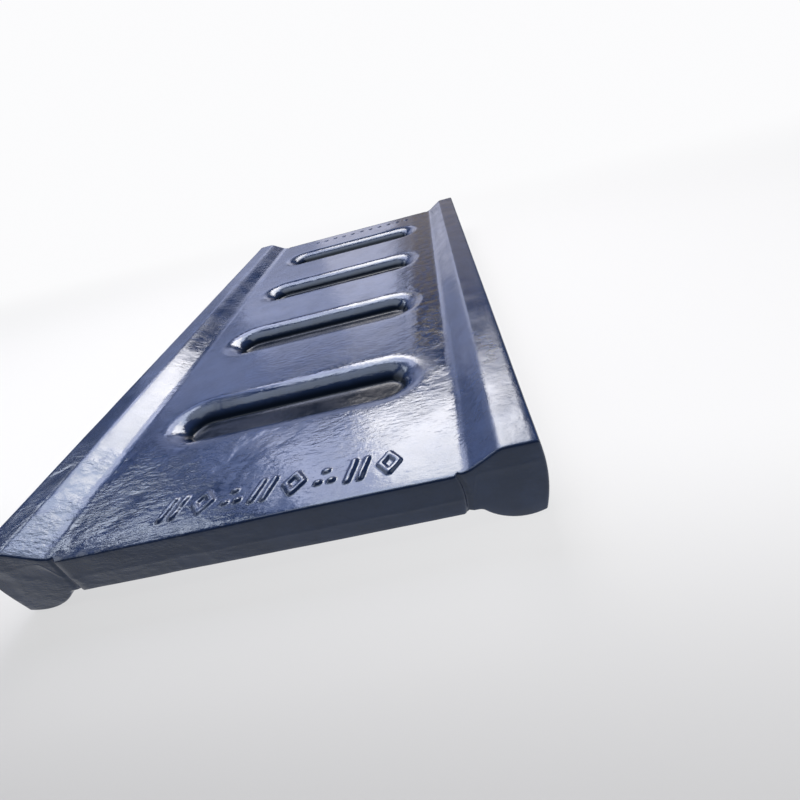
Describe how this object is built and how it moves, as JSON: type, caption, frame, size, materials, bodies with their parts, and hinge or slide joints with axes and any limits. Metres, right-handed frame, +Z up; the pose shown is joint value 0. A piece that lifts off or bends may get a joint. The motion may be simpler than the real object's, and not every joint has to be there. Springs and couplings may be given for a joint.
{
  "type": "jaw crusher toggle plate",
  "caption": "Cast steel strut for a jaw crusher: a flat web with blind round-ended pockets between two thick ends, each with a raised rail, a rounded foot and a rolling outer face.",
  "frame": {"origin": "on the ground, in the middle of the plate between its two rounded feet", "axes": "+X from one rolling end towards the other, +Y along the plate's long side away from the marked end, +Z up out of the pockets"},
  "size_m": [0.67, 1.28, 0.1069],
  "materials": {
    "painted_casting": "thick gloss enamel over a rough steel casting"
  },
  "bodies": {
    "root": {"toggle_plate": "painted_casting"}
  },
  "joints": []
}
